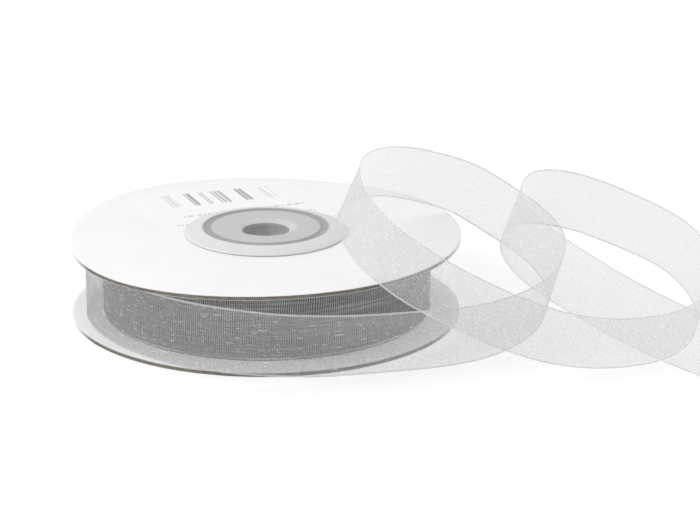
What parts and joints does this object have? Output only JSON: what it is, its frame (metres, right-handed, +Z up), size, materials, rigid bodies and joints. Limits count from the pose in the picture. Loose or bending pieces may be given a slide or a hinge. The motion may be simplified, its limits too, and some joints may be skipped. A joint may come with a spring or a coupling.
{
  "type": "ribbon spool",
  "caption": "Flat round spool of sheer ribbon: two board discs on a plastic hub with a central bore, the ribbon's outer end pulled off in two loose loops.",
  "frame": {"origin": "on the spool's axis, on the surface that the spool lies on, at the lowest face of the lower hub cap", "axes": "+Z up along the spool's axis, +X towards the side on which the ribbon's free end lies, -Y towards the side where the ribbon leaves the spool"},
  "size_m": [0.15, 0.0976, 0.0348],
  "materials": {
    "face_paper": "smooth white coated paper",
    "lining_paper": "white uncoated paper",
    "grey_board": "fibrous cut edge",
    "hub_plastic": "natural translucent satin",
    "tape": "clear gloss",
    "wound_ribbon": "layered silver grey organza",
    "free_ribbon": "sheer silver grey organza",
    "label_paper": "gloss coated sticker"
  },
  "bodies": {
    "root": {"upper_face_paper": "face_paper", "upper_board": "grey_board", "upper_lining_paper": "lining_paper", "lower_lining_paper": "lining_paper", "lower_board": "grey_board", "lower_face_paper": "face_paper", "upper_hub_cap": "hub_plastic", "lower_hub_cap": "hub_plastic", "core": "hub_plastic", "start_tape": "tape", "ribbon_pack": "wound_ribbon", "ribbon_tail": "free_ribbon", "label": "label_paper"}
  },
  "joints": []
}
